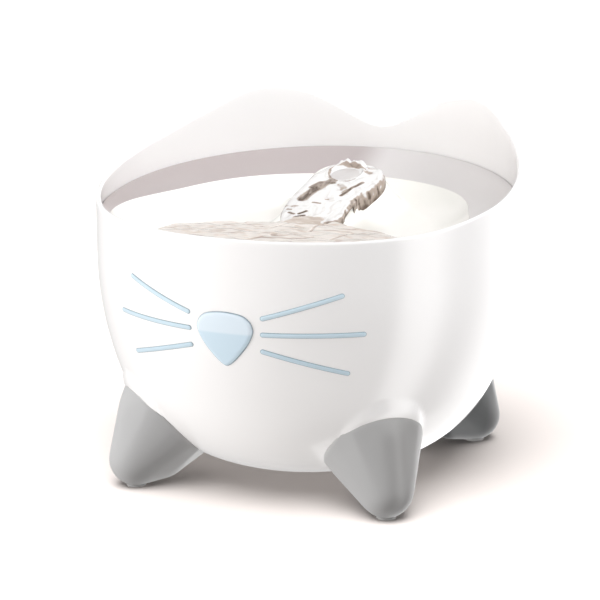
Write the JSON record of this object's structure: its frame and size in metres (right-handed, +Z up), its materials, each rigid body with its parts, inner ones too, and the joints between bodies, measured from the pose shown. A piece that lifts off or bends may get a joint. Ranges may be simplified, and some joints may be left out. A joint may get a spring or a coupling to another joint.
{
  "type": "pet water fountain",
  "caption": "Round bowl-shaped pet water fountain with ear-shaped rim peaks, paw feet, lit nose, submersible pump, filter tray and lift-out drinking dish.",
  "frame": {"origin": "centre of the bowl's footprint, on the floor", "axes": "+Z up along the bowl's axis; the face looks towards -Y; +X is to the right of someone who looks at the face"},
  "size_m": [0.22, 0.221, 0.1844],
  "materials": {
    "white_abs": "glossy warm-white moulded ABS",
    "grey_abs": "satin mid-grey moulded ABS",
    "grey_rubber": "moulded thermoplastic rubber",
    "black_rubber": "moulded rubber",
    "steel": "zinc-plated or stainless steel",
    "blue_lens": "pale blue translucent moulded plastic",
    "circuit_board": "green solder mask on glass-epoxy board",
    "ceramic": "ground white ceramic",
    "black_plastic": "moulded black plastic",
    "dark_plastic": "moulded dark grey ABS",
    "lamination": "laminated electrical steel",
    "copper": "enamelled copper winding",
    "white_pp": "moulded white polypropylene",
    "ferrite": "sintered ferrite magnet",
    "black_foam": "open-cell foam",
    "clear_plastic": "clear moulded plastic",
    "carbon": "granular carbon in a net",
    "felt": "white needled felt",
    "cream_abs": "glossy cream-white moulded ABS",
    "grey_satin": "satin warm-grey moulded plastic",
    "pale_silicone": "pale grey silicone"
  },
  "bodies": {
    "base": {"bowl": "white_abs", "foot_front_left": "grey_abs", "foot_front_right": "grey_abs", "foot_rear_left": "grey_abs", "foot_rear_right": "grey_abs", "foot_pads": "grey_rubber", "foot_screws": "steel", "nose_lens": "blue_lens", "nose_gasket": "black_rubber", "whisker_left_upper": "blue_lens", "whisker_left_middle": "blue_lens", "whisker_left_lower": "blue_lens", "whisker_right_upper": "blue_lens", "whisker_right_middle": "blue_lens", "whisker_right_lower": "blue_lens", "lamp_housing": "white_abs", "lamp_board": "circuit_board", "lamp_chip": "ceramic", "lamp_screws": "steel", "power_inlet": "black_plastic", "inlet_pin": "steel", "inlet_gasket": "grey_rubber", "inlet_nut": "steel", "inlet_boot": "black_rubber", "pump_lead": "black_rubber", "lamp_lead": "black_rubber", "lead_clips": "white_abs", "suction_cups": "grey_rubber", "pump_body": "dark_plastic", "motor_cap": "dark_plastic", "stator_core": "lamination", "stator_coil": "copper", "pump_shaft": "ceramic", "volute_cover": "dark_plastic", "outlet_seal": "black_rubber"},
    "tray": {"filter_tray": "white_pp", "riser_tube": "clear_plastic"},
    "cartridge": {"cartridge_frame": "white_pp", "cartridge_carbon": "carbon", "cartridge_felt": "felt", "cartridge_lid": "white_pp"},
    "dish": {"drinking_dish": "cream_abs", "dish_collar": "grey_satin", "spout_ring": "pale_silicone"},
    "rotor": {"impeller": "white_pp", "rotor_magnet": "ferrite"},
    "strainer": {"strainer_cover": "dark_plastic", "prefilter_foam": "black_foam"}
  },
  "joints": [
    {"name": "dish_lift", "type": "slide", "parent": "base", "child": "dish", "axis": [0, 0, 1], "range_m": [0, 0.26]},
    {"name": "filter_lift", "type": "slide", "parent": "base", "child": "cartridge", "axis": [0, 0, 1], "range_m": [0, 0.2]},
    {"name": "tray_lift", "type": "slide", "parent": "base", "child": "tray", "axis": [0, 0, 1], "range_m": [0, 0.14]},
    {"name": "rotor_spin", "type": "hinge", "parent": "base", "child": "rotor", "pos_m": [0, 0.03, 0.0336], "axis": [0, 1, 0], "continuous": true},
    {"name": "strainer_slide", "type": "slide", "parent": "base", "child": "strainer", "axis": [0, 1, 0], "range_m": [0, 0.006]}
  ],
  "couplings": [
    {"joint": "filter_lift", "follows": "dish_lift", "ratio": 0.75},
    {"joint": "tray_lift", "follows": "dish_lift", "ratio": 0.5}
  ]
}
